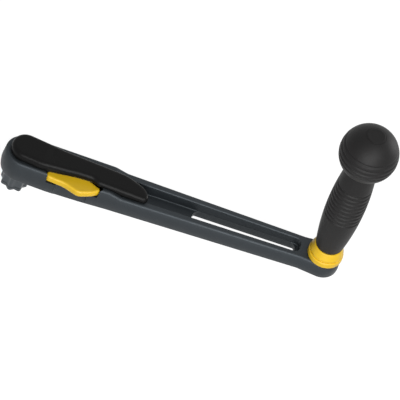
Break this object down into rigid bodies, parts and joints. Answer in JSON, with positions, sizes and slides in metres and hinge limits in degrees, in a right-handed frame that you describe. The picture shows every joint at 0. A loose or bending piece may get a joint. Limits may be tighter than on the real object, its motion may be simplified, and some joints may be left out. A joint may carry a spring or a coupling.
{
  "type": "crank handle",
  "caption": "Locking winch crank handle with an eight-point drive stud, side thumb lever, channelled arm and a freely turning ball grip.",
  "frame": {"origin": "on the axis of the drive stud, level with the underside of the head", "axes": "+X runs along the arm from the drive stud to the grip, +Z is parallel to the grip and points away from the winch, the thumb lever is on the -Y side"},
  "size_m": [0.2948, 0.0484, 0.1947],
  "materials": {
    "arm_metal": "dark slate anodised, satin",
    "cover_metal": "dark slate anodised, satin",
    "stainless": "machined",
    "spring_steel": "drawn wire",
    "bearing_plastic": "natural bearing plastic",
    "seal_rubber": "smooth",
    "signal_plastic": "satin yellow moulding",
    "soft_black": "fine matt grain",
    "grip_black": "fine matt grain, soft-touch"
  },
  "bodies": {
    "arm": {"arm": "arm_metal", "drive_stud": "stainless", "stud_ring_nut": "stainless", "upper_spindle_bush": "bearing_plastic", "lower_spindle_bush": "bearing_plastic", "spindle_seal": "seal_rubber", "lever_pin": "stainless", "lever_washer": "bearing_plastic", "toggle_spring": "spring_steel", "cover_plate": "cover_metal", "cover_screws": "stainless", "palm_pad": "soft_black", "grip_axle": "stainless", "axle_washer": "stainless", "axle_nut": "stainless", "grip_collar": "signal_plastic", "thrust_washer": "bearing_plastic", "retaining_washer": "stainless", "cap_screw": "stainless"},
    "lever": {"thumb_lever": "signal_plastic", "follower_pin": "stainless"},
    "lock": {"lock_spindle": "stainless", "lock_plate": "stainless", "plate_screw": "stainless", "spindle_crank": "stainless", "crank_clip": "stainless"},
    "grip": {"grip_sleeve": "grip_black", "lower_grip_bush": "bearing_plastic", "upper_grip_bush": "bearing_plastic", "ball_knob": "grip_black", "knob_plug": "grip_black"}
  },
  "joints": [
    {"name": "grip_spin", "type": "hinge", "parent": "arm", "child": "grip", "pos_m": [0.254, 0, 0.05], "axis": [0, 0, 1], "continuous": true},
    {"name": "lever_swing", "type": "hinge", "parent": "arm", "child": "lever", "pos_m": [0.03, -0.0082, 0.017], "axis": [0, 0, 1], "range_deg": [0, 9.3]},
    {"name": "lock_turn", "type": "hinge", "parent": "arm", "child": "lock", "pos_m": [0, 0, 0], "axis": [0, 0, 1], "range_deg": [-22.5, 0]}
  ],
  "couplings": [
    {"joint": "lock_turn", "follows": "lever_swing", "ratio": -2.42}
  ]
}
